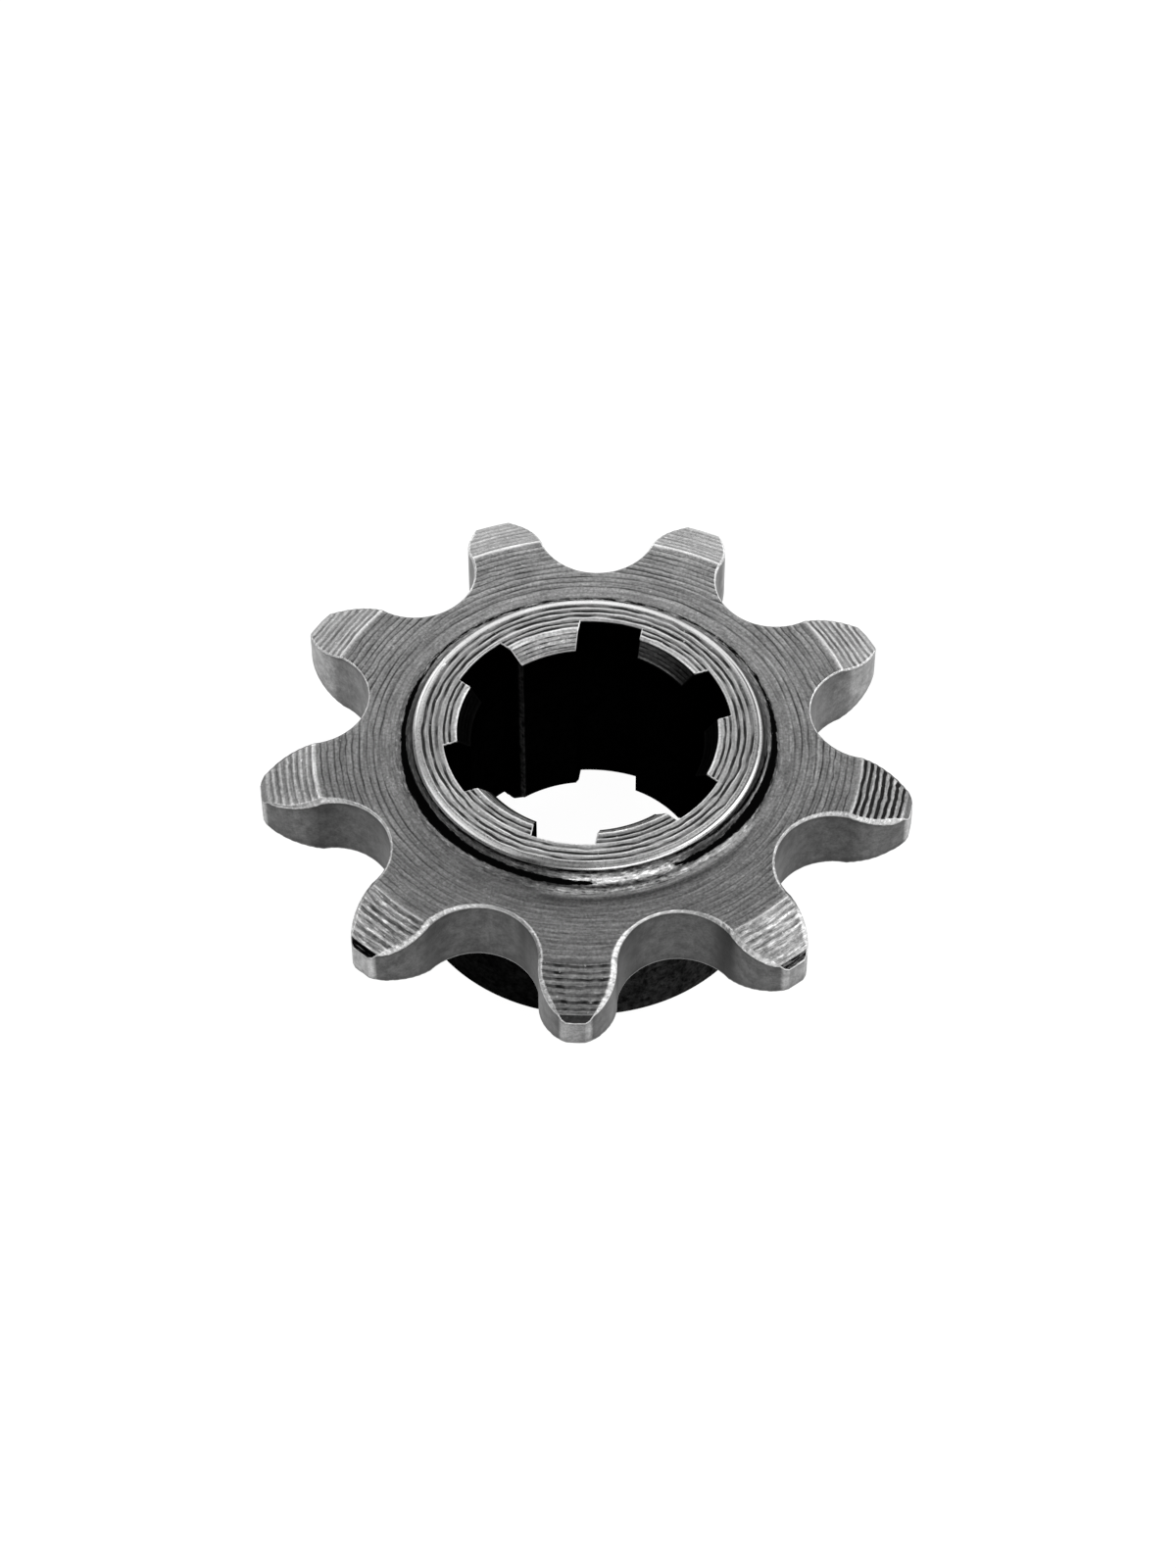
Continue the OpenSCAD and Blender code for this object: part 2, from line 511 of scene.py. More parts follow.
def add_teeth(skin, side, rows, widths):
    """The teeth of one side. Returns the inner ring, and the loop of points along the outline's edge."""
    wall, away, _, _ = outline(rows)
    per_tooth = len(wall)
    last = len(rows) - 1
    radii = np.array([row.radius for row in rows])
    face = PLATE_Z if side > 0 else HUB_LEN
    ring = np.zeros(COLUMNS, int)
    edge = np.zeros(TEETH * per_tooth, int)
    tooth_grids = []
    share = np.linspace(0, 1, TOOTH_COLUMNS + 1)
    near = np.clip(1 - np.arange(TOOTH_COLUMNS + 1) / 3, 0, 1)
    for tooth in range(TEETH):
        inset = widths[np.arange(tooth * per_tooth, (tooth + 1) * per_tooth + 1) % len(widths)]
        loop = np.concatenate([wall, turn_by(wall[:1], TOOTH_STEP)])
        loop_away = np.concatenate([away, turn_by(away[:1], TOOTH_STEP)])
        inner = loop - loop_away * inset[:, None]
        polar_r, polar_a = radius_of(inner), angle_of(inner)
        grid = np.zeros((last + 1, TOOTH_COLUMNS + 1), int)
        strength = 0.85 + 0.15 * smooth_noise(TOOTH_COLUMNS + 1, 9, 1.0).clip(-1, 1)
        wobbles = {}
        for k, row in enumerate(rows):
            right, left = k, per_tooth - k
            if k == last:
                r, a = polar_r[right:left + 1], polar_a[right:left + 1]
            else:
                a = polar_a[right] + (polar_a[left] - polar_a[right]) * share
                r = radii[k] + (polar_r[right] - radii[k]) * near + (polar_r[left] - radii[k]) * near[::-1]
                r = r + wobble(wobbles, row, TOOTH_COLUMNS + 1, *TOOTH_WOBBLE) * (1 - near) * (1 - near[::-1])
            z = face - side * plate_drop(r) + row.sink_z * strength
            r = r + row.sink_r * strength
            angle = a + TOOTH_STEP * tooth - math.pi / 2
            tone, mark, shine, torn, residue_and_shade = tooth_look(row, tooth, angle, strength)
            numbers = slice(0, TOOTH_COLUMNS + 1)
            if k == 0 and tooth > 0:
                grid[0, 0] = ring[tooth * TOOTH_COLUMNS]
                numbers = slice(1, TOOTH_COLUMNS + 1)
            if k == 0 and tooth == TEETH - 1:
                grid[0, -1] = ring[0]
                numbers = slice(1, TOOTH_COLUMNS)
            grid[k, numbers] = skin.add(
                (r * np.cos(angle))[numbers], (r * np.sin(angle))[numbers], z[numbers],
                tone, mark[numbers], np.broadcast_to(shine, r.shape)[numbers], torn, residue_and_shade)
            if k == 0:
                ring[tooth * TOOTH_COLUMNS:(tooth + 1) * TOOTH_COLUMNS] = grid[0, :-1]
                if tooth < TEETH - 1:
                    ring[(tooth + 1) * TOOTH_COLUMNS] = grid[0, -1]
        tooth_grids.append(grid)
        around = np.concatenate([grid[:, 0], grid[-1, 1:-1], grid[:0:-1, -1]])
        edge[tooth * per_tooth:(tooth + 1) * per_tooth] = around
    for grid in tooth_grids:
        skin.sheet(grid if side > 0 else grid[:, ::-1])
    return ring, edge


def ring_angles():
    """Angles of the columns: even ones for the teeth, and ones that meet the grooves of the bore."""
    even = -math.pi / 2 - TOOTH_STEP / 2 + np.arange(COLUMNS) * 2 * math.pi / COLUMNS
    reach = math.asin((GROOVE_HALF + BORE_EDGE) / (MAJOR_R + BORE_EDGE))
    middle = round((FIRST_GROOVE - even[0]) / (2 * math.pi / COLUMNS))
    fitted = even.copy()
    for k in range(SPLINES):
        centre = FIRST_GROOVE + k * SPLINE_STEP
        groove = np.linspace(-reach, reach, GROOVE_COLUMNS + 1)
        land = np.linspace(reach, SPLINE_STEP - reach, LAND_COLUMNS + 1)
        start = middle + k * SPLINE_COLUMNS - GROOVE_COLUMNS // 2
        for step, offset in enumerate(np.concatenate([groove, land[1:-1]])):
            fitted[(start + step) % COLUMNS] = centre + offset
    shift = (fitted - even + math.pi) % (2 * math.pi) - math.pi
    return even, shift, middle


def add_rings(skin, side, rows, ring, tint):
    """Full circles from the inner ring of the teeth to the groove bottoms of the bore."""
    even, shift, middle = ring_angles()
    loops = [ring]
    wobbles = {}
    for k, row in enumerate(rows):
        angle = even + shift * (k + 1) / len(rows)
        strength = 0.75 + 0.25 * smooth_noise(COLUMNS, 60, 1.0).clip(-1, 1)
        r = row.radius + row.sink_r * strength
        if row.look is not HUB:
            r = r + wobble(wobbles, row, COLUMNS, *RING_WOBBLE)
        z = row.height + row.sink_z * strength
        tone, residue_and_shade, torn = tint(row, angle)
        mark, shine = row.groove * strength, row.look.shine
        if row.look is PLATE:
            mark = mark * plate_marks(angle)
            shine = plate_shine(angle)
        loops.append(skin.add(
            r * np.cos(angle), r * np.sin(angle), z, row.look.tone * tone, mark, shine, torn, residue_and_shade))
    steels = [PAINTED_DARK if row.look is HUB else TURNED for row in rows]
    if side > 0:
        skin.band(loops[::-1], steels[::-1])
    else:
        skin.band(loops, steels)
    return loops[-1], middle


def cone_tint(angle, depth):
    """The chamfers of the lands are painted dark, as painted shade, with painted light on the one at the back
    left, along the outer part of the front ones and towards the right back. The depth is 0 at the outer end
    and 1 at the bore."""
    turn = azimuth(angle)
    front = 2.2 * window(turn, *LAND_LIT_FRONT) * (1 - smooth_step((depth - 0.5) / 0.35))
    back = 0.98 * window(turn, *LAND_LIT_BACK) + 0.44 * smooth_step((turn - 28) / 44) * (turn < 80)
    return 0.007 + front + back


def add_lands(skin, side, rows, ring, middle):
    """The lands between the grooves of the bore. Returns the loop along the edge of the hole."""
    last = len(rows)
    edge = []
    share = np.linspace(0, 1, LAND_COLUMNS + 1)
    from_end = np.clip(np.arange(LAND_COLUMNS + 1) / 2, 0, 1)
    inside = from_end * from_end[::-1]
    for k in range(SPLINES):
        first = middle + GROOVE_COLUMNS // 2 + k * SPLINE_COLUMNS
        columns = (first + np.arange(LAND_COLUMNS + 1)) % COLUMNS
        grid = np.zeros((last + 1, LAND_COLUMNS + 1), int)
        grid[0] = ring[columns]
        wobbles = {}
        for q, row in enumerate(rows):
            strength = 0.75 + 0.25 * smooth_noise(LAND_COLUMNS + 1, 8, 1.0).clip(-1, 1)
            lean = math.asin((GROOVE_HALF + BORE_EDGE) / row.radius)
            angle = FIRST_GROOVE + k * SPLINE_STEP + lean + (SPLINE_STEP - 2 * lean) * share
            r = row.radius + row.sink_r * strength
            if row.look is FACE:
                r = r + wobble(wobbles, row, LAND_COLUMNS + 1, *LAND_WOBBLE) * inside
            z = row.height + row.sink_z * strength
            depth = (MINOR_R + LAND_CHAMFER - row.radius) / LAND_CHAMFER
            tone = row.look.tone * (cone_tint(angle, depth) if side > 0 and row.look is CONE else 1)
            # Painted highlight on the lip, brightest at the back left
            if row.look is LIP:
                tone = tone * (0.82 + 0.4 * window(np.degrees(angle), *LIP_HIGHLIGHT))
            torn = 0.5 if row.look is CONE else 0.0
            grid[q + 1] = skin.add(
                r * np.cos(angle), r * np.sin(angle), z, tone, row.groove * strength, row.look.shine, torn)
        skin.sheet(grid if side < 0 else grid[:, ::-1])
        edge.extend(grid[:, 0])
        edge.extend(grid[-1, 1:-1])
        edge.extend(grid[::-1, -1])
        groove_start = first + LAND_COLUMNS
        edge.extend(ring[(groove_start + np.arange(1, GROOVE_COLUMNS)) % COLUMNS])
    return np.array(edge)


def bore_outline(rows):
    """The splined hole's wall points and the way out of the metal, in step with the loop of add_lands."""
    points, away, tones = [], [], []
    mirror = np.array([1, -1])
    slanted = np.array([-1.0, -1.0]) / math.sqrt(2)
    for k in range(SPLINES):
        start = FIRST_GROOVE + k * SPLINE_STEP
        end = start + SPLINE_STEP
        radii = [MAJOR_R + BORE_EDGE] + [row.radius for row in rows]
        side = []
        for q, radius in enumerate(radii):
            x = math.sqrt(radius ** 2 - (GROOVE_HALF + BORE_EDGE) ** 2)
            out = np.array([0.0, -1.0])
            if q == 0:
                x = math.sqrt(MAJOR_R ** 2 - GROOVE_HALF ** 2)
                out = slanted
            if q == len(radii) - 1:
                x = math.sqrt(MINOR_R ** 2 - GROOVE_HALF ** 2)
                out = slanted
            side.append((np.array([x, GROOVE_HALF]), out))
        lean = math.asin(GROOVE_HALF / MINOR_R)
        tip = start + lean + (SPLINE_STEP - 2 * lean) * np.linspace(0, 1, LAND_COLUMNS + 1)[1:-1]
        reach = math.asin(GROOVE_HALF / MAJOR_R)
        bottom = end + np.linspace(-reach, reach, GROOVE_COLUMNS + 1)[1:-1]
        for p, n in side:
            points.append(turn_by(p, start))
            away.append(turn_by(n, start))
        for a in tip:
            points.append(direction(a) * MINOR_R)
            away.append(-direction(a))
        for p, n in reversed(side):
            points.append(turn_by(p * mirror, end))
            away.append(turn_by(n * mirror, end))
        for a in bottom:
            points.append(direction(a) * MAJOR_R)
            away.append(-direction(a))
        dark = [BORE.tone] * len(side)
        # A painted highlight down one corner of the first land
        highlit = LAND_CORNER_HIGHLIGHT + dark[len(LAND_CORNER_HIGHLIGHT):] if k == 0 else dark
        tones += dark + [BORE.tone] * len(tip) + highlit + [BORE.tone] * len(bottom)
    return np.array(points), np.array(away), np.array(tones)


def add_wall(skin, edges, wall, away, widths, edge_tones, look, heights, tones, steel, torn=0.0):
    """The wall between the edges of the top and the underside, with its broken edges rounded."""
    points = np.array(skin.points)
    ends = []
    for edge, width, edge_look, side in zip(edges, widths, (BROKEN, LOW_BROKEN), (1, -1)):
        z = points[edge, 2]
        rounds = []
        for step, angle in enumerate(EDGE_ANGLES, 1):
            place = wall - away * (width * (1 - math.sin(angle)))[:, None]
            height = z - side * width * (1 - math.cos(angle))
            tone = edge_look.tone * edge_tones
            if step == EDGE_STEPS:
                tone = (tone + tones) / 2
            rounds.append(skin.add(place[:, 0], place[:, 1], height, tone, 0, edge_look.shine, torn))
        ends.append((rounds, z - side * width))
    high, low = ends[0][1], ends[1][1]
    loops = [edges[0]] + ends[0][0]
    for part, fade in heights:
        z = high - WALL_MARGIN + (low - high + 2 * WALL_MARGIN) * part
        loops.append(skin.add(wall[:, 0], wall[:, 1], z, tones * fade, 0, look.shine))
    loops += ends[1][0][::-1]
    loops.append(edges[1])
    steels = [TURNED] * EDGE_STEPS + [steel] * (len(loops) - 1 - 2 * EDGE_STEPS) + [TURNED] * EDGE_STEPS
    skin.band(loops, steels)


def low_spans(spans):
    """Widths of the broken edges under the plate: the tips are rounder there."""
    return np.maximum(spans, LOW_EDGE) + LOW_TIP * (1 - smooth_step(spans / 0.2))


def outer_shades(wall, shades):
    """Tone of the cut sides: strips of painted shade at the seats' ends are darkest near the front tooth."""
    bright, in_strip = shades.T
    turn, around = from_front(angle_of(wall)), np.degrees(angle_of(wall))
    strip = 0.1 + 0.25 * window(turn, 0, 42, 30) + 0.5 * window(around, *STRIP_RIGHT)
    strip = strip + 0.2 * window(around, *STRIP_LEFT) + 0.08 * window(around, *STRIP_FAR_RIGHT)
    # Painted light on the sides of the teeth toward the back and on one tooth's end, painted shade on the cut
    # sides near the front tooth
    back = 1 + window(turn, 100, 150, 10) * (0.8 + 0.7 * smooth_step((bright - 0.8) / 0.2))
    first_seats = 1 - 0.5 * window(turn, 3, 13, 4) * window(radius_of(wall), ROOT_R, PITCH_R, 1.0)
    on_flank = smooth_step((bright - 0.8) / 0.28)
    front = 1 - 0.2 * window(turn, 0, 3, 1) - 0.14 * window(turn, 14, 52, 8) * on_flank
    tips = 1 + 0.28 * window(around, *LIGHT_TIP) * (bright >= TIP_SHADE)
    return WALL.tone * bright * (1 - in_strip * strip) * back * first_seats * front * tips


def bore_edge_tint(wall):
    """The edge round the bore is bright, but painted shade darkens it on the land chamfers, except at the
    back left.
    """
    on_land = smooth_step((MINOR_R + LAND_CHAMFER + 0.05 - radius_of(wall)) / 0.15)
    bright = window(azimuth(angle_of(wall)), *BORE_EDGE_LIT)
    return 1 - 0.995 * on_land * (1 - 0.8 * bright)


def edge_widths(middle, wall):
    """Widths of a broken edge along a loop, with slow and fine changes. The edges at the back are finer."""
    count = len(middle)
    share = 1 + smooth_noise(count, count // 30, 0.16) + smooth_noise(count, count // 9, 0.08)
    angle = angle_of(wall)
    share = np.clip(share, 0.65, 1.45) * (1 + 0.35 * window(np.degrees(angle), *WIDE_EDGE))
    return middle * share * (1 - 0.5 * smooth_step((from_front(angle) - 66) / 40))


def edge_tint(wall, away):
    """Broken edges: painted shade where they face the back, a painted highlight on the front tooth's right
    side.
    """
    bright = 1 + 0.2 * window(np.degrees(angle_of(wall)), *EDGE_HIGHLIGHT)
    return bright * (1 - 0.92 * smooth_step((away[:, 1] - 0.3) / 0.5))


def build_sprocket():
    skin = Skin()
    loops = {}
    teeth = {1: tooth_rows()}
    teeth[-1] = mirrored(teeth[1], PLATE_Z, HUB_LEN)
    lands = {1: land_rows()}
    lands[-1] = mirrored(lands[1], FACE_Z, 0, {FACE: HUB})
    wall, away, spans, shades = outline(teeth[1])
    outer_wall = np.concatenate([turn_by(wall, TOOTH_STEP * i - math.pi / 2) for i in range(TEETH)])
    outer_away = np.concatenate([turn_by(away, TOOTH_STEP * i - math.pi / 2) for i in range(TEETH)])
    outer_tones = outer_shades(outer_wall, np.tile(shades, (TEETH, 1)))
    widths = {1: edge_widths(np.tile(spans, TEETH), outer_wall),
              -1: edge_widths(np.tile(low_spans(spans), TEETH), outer_wall)}
    for side, rows, tint in ((1, top_rows(), boss_tint), (-1, under_rows(), under_tint)):
        ring, outer = add_teeth(skin, side, teeth[side], widths[side])
        last_ring, middle = add_rings(skin, side, rows, ring, tint)
        inner = add_lands(skin, side, lands[side], last_ring, middle)
        loops[side] = (outer, inner)
    add_wall(
        skin, (loops[1][0], loops[-1][0]), outer_wall, outer_away, (widths[1], widths[-1]),
        edge_tint(outer_wall, outer_away), WALL, OUTER_HEIGHTS, outer_tones, MILLED, EDGE_TORN)
    bore_wall, bore_away, bore_tones = (values[::-1] for values in bore_outline(lands[1]))
    width = np.full(len(bore_wall), BORE_EDGE)
    add_wall(
        skin, (loops[1][1][::-1], loops[-1][1][::-1]), bore_wall, bore_away, (width, width),
        bore_edge_tint(bore_wall), BORE, BORE_HEIGHTS, bore_tones, PAINTED_DARK)
    return skin


def under_tint(row, angle):
    """The hub's painted shade is darkest at its front left."""
    tone = 1 - 0.75 * window(azimuth(angle), *HUB_DEEPEST_SHADE) if row.look is HUB else np.ones(len(angle))
    return tone, 0.0, 0.0


def boss_tint(row, angle):
    """Tone, painted shade and torn skin of plate and boss, with a painted highlight on the rim's front right.
    """
    turn = azimuth(angle)
    if row.place is not None:
        return corner_tint(row.place, turn)
    tone = np.ones(len(angle))
    if row.look is BAND:
        # Painted light and shade on the rim band: a painted highlight at the front right, painted shade at
        # the front, the left and the back
        tone = 0.92 - 0.34 * window(turn, *RIM_SHADE_FRONT) + 0.28 * window(turn, *RIM_HIGHLIGHT)
        tone = tone - 0.36 * (row.radius > BOSS_R - 0.2) * window(turn, *RIM_SHADE_LEFT)
        tone = tone - 0.27 * window(turn, *RIM_SHADE_BACK)
    # Painted light on the front of the boss face
    if row.look is FACE:
        tone = 1 + 0.42 * window(turn, *FACE_LIT_FRONT)
    # The line of painted shade is darkest at the right front and paler elsewhere
    if row.look is SHADE_LINE:
        tone = 1 + 2.5 * (1 - window(turn, *RIM_LINE_SHADE))
    # Rings of painted highlight and painted shade on the plate next to the corner
    if row.look is PLATE:
        rings = 1.1 * window(row.radius, *LIGHT_RING) - 0.4 * window(row.radius, *DARK_RING)
        tone = 1 + window(turn, *PLATE_HIGHLIGHT) * rings
        tone = tone - 0.1 * window(turn, *PLATE_SHADE) * window(row.radius, *WIDE_SHADE_RING)
    return tone, 0.0, 0.0


def corner_tint(place, turn):
    """Tone, painted shade and torn skin in the hollow corner round the boss. Its black band of painted shade
    gives way at the front to a painted highlight, and a thin dark line of painted shade runs above it round
    the front half. The bands are given narrower than they show, as the steel is covered from half of the full
    painted shade on."""
    left, right = window(turn, *CORNER_LEFT), window(turn, *CORNER_RIGHT)
    highlit, bright = window(turn, *CORNER_LIT), window(turn, *CORNER_HIGHLIGHT)
    line = 0.16 + 0.3 * np.clip((turn + 50) / 45, 0, 1)

    # Painted shade: a black band between the rim and the plate, weaker at the back and gone where the front
    # is lit, and thin dark lines at the left, the front and the right
    turns, starts, ends = np.array(CORNER_SHADE_BAND).T
    low, high = np.interp(turn, turns, starts) + 0.11, np.interp(turn, turns, ends) - 0.11
    middle = (low + high) / 2
    residue_and_shade = 1.3 * window(place, np.minimum(low, middle), np.maximum(high, middle), 0.19)
    residue_and_shade = residue_and_shade * (1 - 0.5 * window(turn, *CORNER_BACK)) * (1 - highlit)
    residue_and_shade = np.maximum(residue_and_shade, 0.6 * left * window(place, 0.02, 0.16, 0.14))
    residue_and_shade = np.maximum(residue_and_shade, 0.5 * highlit * window(place, 0.06, 0.13, 0.12))
    residue_and_shade = np.maximum(residue_and_shade, 0.75 * right * window(place, line - 0.02, line + 0.02, 0.12))

    # Painted light and shade: lighter towards the plate, a light band on the left, darker at the right back,
    # a painted highlight at the front, a light line on the right, and a painted highlight at the plate's foot
    # in front
    tone = 0.5 + 0.35 * smooth_step((place - 0.75) / 0.2)
    tone = tone + 0.4 * left * window(place, 0.24, 0.42, 0.08) - 0.12 * window(turn, *CORNER_DIM)
    tone = tone + bright * (2.0 * window(place, 0.34, 0.6, 0.14) - 0.1 * window(place, 0.74, 0.8, 0.08))
    tone = tone + 0.8 * right * window(place, line + 0.1, line + 0.14, 0.07)
    tone = tone + 2.2 * window(turn, *PLATE_HIGHLIGHT) * window(place, 0.9, 1.2, 0.14)
    return tone, residue_and_shade, 0.85 + 0.5 * bright


def top_rows():
    """Rows from the teeth inwards over the plate, up the boss and over its face."""
    fillet_r = BOSS_R + BOSS_FILLET
    plate = turned((ROOT_R - ROOT_EDGE - 0.1, PLATE_Z), (fillet_r + 0.7, PLATE_Z), PLATE_CUT, PLATE)
    plate += plain([(fillet_r + step, PLATE_Z) for step in (0.6, 0.45, 0.3, 0.2, 0.12)], PLATE)
    corner = []
    for place in CORNER_PLACES:
        angle = 180 + 90 * place
        points = arc_points((fillet_r, PLATE_Z + BOSS_FILLET), BOSS_FILLET, angle, angle, 0)
        corner += [row._replace(place=place) for row in plain(points, ROUND)]
    rim = FACE_Z - BAND_DROP
    band = []
    for look, points in (
        (BAND, ((0.01, rim - 0.1), (0.05, rim - 0.045), (0.11, rim - 0.003), (0.19, FACE_Z - 0.066))),
        (SHADE_LINE, ((0.23, FACE_Z - 0.054), (0.3, FACE_Z - 0.04))),
        (BAND, ((0.34, FACE_Z - 0.032), (BAND_W, FACE_Z))),
    ):
        band += plain([(BOSS_R - inwards, height) for inwards, height in points], look)
    end = (MAJOR_R + BORE_EDGE, FACE_Z)
    face = turned((BOSS_R - BAND_W - 0.06, FACE_Z), end, FACE_CUT, FACE, 1, WIDE_MARK)
    return plate + corner + band + face + plain([end], FACE)


def land_rows():
    """Rows over the lands of the bore on top, from the groove bottoms inwards and down the chamfer."""
    cone_r = MINOR_R + LAND_CHAMFER
    rows = turned((MAJOR_R, FACE_Z), (cone_r + 0.15, FACE_Z), LAND_CUT, FACE, 1, WIDE_MARK)
    lip = ((0.12, 0.0), (0.03, 0.012), (-0.05, 0.06))
    rows += plain([(cone_r + outwards, FACE_Z - drop) for outwards, drop in lip], LIP)
    inner = MINOR_R + BORE_EDGE
    end = (inner, FACE_Z - cone_r + inner)
    rows += turned((cone_r - 0.08, FACE_Z - 0.085), end, CONE_CUT, CONE)
    return rows + plain([end], CONE)


def under_rows():
    """Rows from the teeth inwards under the plate, down the hub and over its end."""
    fillet_r = HUB_R + HUB_FILLET
    plate = turned((ROOT_R - ROOT_EDGE - 0.1, HUB_LEN), (fillet_r, HUB_LEN), PLATE_CUT, PLATE, -1)
    corner = plain(arc_points((fillet_r, HUB_LEN - HUB_FILLET), HUB_FILLET, 90, 180, 5), HUB)
    chamfer_top, chamfer_end, end = (HUB_R, HUB_CHAMFER), (HUB_R - HUB_CHAMFER, 0), (MAJOR_R + BORE_EDGE, 0)
    wall = turned((HUB_R, HUB_LEN - HUB_FILLET - 0.3), chamfer_top, HUB_CUT, HUB, -1)
    chamfer = turned(chamfer_top, chamfer_end, HUB_CHAMFER_CUT, HUB, -1)
    face = turned(chamfer_end, end, HUB_FACE_CUT, HUB, -1)
    return plate + corner + wall + chamfer + face + plain([end], HUB)


def to_object(skin, name):
    mesh = bpy.data.meshes.new(name)
    mesh.from_pydata([tuple(v * MM for v in p) for p in skin.points], [], skin.faces)
    marks = np.array(skin.marks, np.float32)
    for column, label in enumerate(LABELS):
        mesh.attributes.new(label, "FLOAT", "POINT").data.foreach_set("value", marks[:, column].copy())
    mesh.polygons.foreach_set("material_index", np.array(skin.steels, np.int32))
    mesh.polygons.foreach_set("use_smooth", np.ones(len(mesh.polygons), bool))
    mesh.set_sharp_from_angle(angle=SHARP_ANGLE)
    mesh.update()
    obj = bpy.data.objects.new(name, mesh)
    bpy.context.scene.collection.objects.link(obj)
    return obj


class Shader:
    """A node tree written as nested calls."""

    def __init__(self, name):
        self.material = bpy.data.materials.new(name)
        self.material.use_nodes = True
        self.tree = self.material.node_tree
        self.tree.nodes.clear()

    def node(self, kind, inputs=None, **settings):
        made = self.tree.nodes.new(kind)
        for key, value in settings.items():
            setattr(made, key, value)
        for key, value in (inputs or {}).items():
            if isinstance(value, bpy.types.NodeSocket):
                self.tree.links.new(value, made.inputs[key])
            else:
                made.inputs[key].default_value = value
        return made

    def finish(self, surface):
        self.node("ShaderNodeOutputMaterial", {"Surface": surface.outputs[0]})
        return self.material

    def attribute(self, label):
        return self.node("ShaderNodeAttribute", attribute_name=label).outputs["Fac"]

    def math(self, operation, a, b=0.0, clamp=False):
        return self.node("ShaderNodeMath", {0: a, 1: b}, operation=operation, use_clamp=clamp).outputs[0]

    def times(self, a, b, clamp=False):
        return self.math("MULTIPLY", a, b, clamp)

    def ramp(self, value, low, high, new_low=0.0, new_high=1.0):
        limits = {"From Min": low, "From Max": high, "To Min": new_low, "To Max": new_high}
        return self.node("ShaderNodeMapRange", {"Value": value, **limits}).outputs["Result"]

    def noise(self, vector, scale, detail=3.0, roughness=0.55):
        inputs = {"Vector": vector, "Scale": scale, "Detail": detail, "Roughness": roughness}
        return self.node("ShaderNodeTexNoise", inputs).outputs["Fac"]


def polar_place(s):
    """The place on the part in millimetres, and its polar parts: the direction from the axis as x and y, the
    radius and the height in millimetres."""
    place = s.node("ShaderNodeTexCoord").outputs["Object"]
    mm = s.node("ShaderNodeVectorMath", {0: place, 1: (1000, 1000, 1000)}, operation="MULTIPLY").outputs[0]
    x, y, z = s.node("ShaderNodeSeparateXYZ", {0: mm}).outputs
    radius = s.math("SQRT", s.math("ADD", s.times(x, x), s.times(y, y)))
    return mm, (s.math("DIVIDE", x, radius), s.math("DIVIDE", y, radius), radius, z)


def along_noise(s, polar, around, across, detail, roughness):
    """Noise along the turning direction: cells for each radian around, and for each millimetre across."""
    x, y, radius, height = polar
    place = s.node("ShaderNodeCombineXYZ", {
        0: s.times(x, around),
        1: s.times(y, around),
        2: s.times(radius, across)}).outputs[0]
    inputs = {
        "Vector": place, "W": s.times(height, across),
        "Scale": 1.0, "Detail": detail, "Roughness": roughness}
    return s.node("ShaderNodeTexNoise", inputs, noise_dimensions="4D").outputs["Fac"]


# How high the grain of the steels stands, in metres
BUMP_DEPTH = 0.00003


def grey(s, level):
    return s.node("ShaderNodeCombineColor", {0: level, 1: level, 2: level}).outputs[0]


def finish_steel(s, colour, rough, height, strength, metallic=1.0, gloss=0.5):
    bump = s.node("ShaderNodeBump", {"Height": height, "Strength": strength, "Distance": BUMP_DEPTH})
    return s.finish(s.node("ShaderNodeBsdfPrincipled", {
        "Base Color": colour, "Metallic": metallic, "Roughness": rough,
        "Specular IOR Level": gloss, "Normal": bump.outputs[0]}))


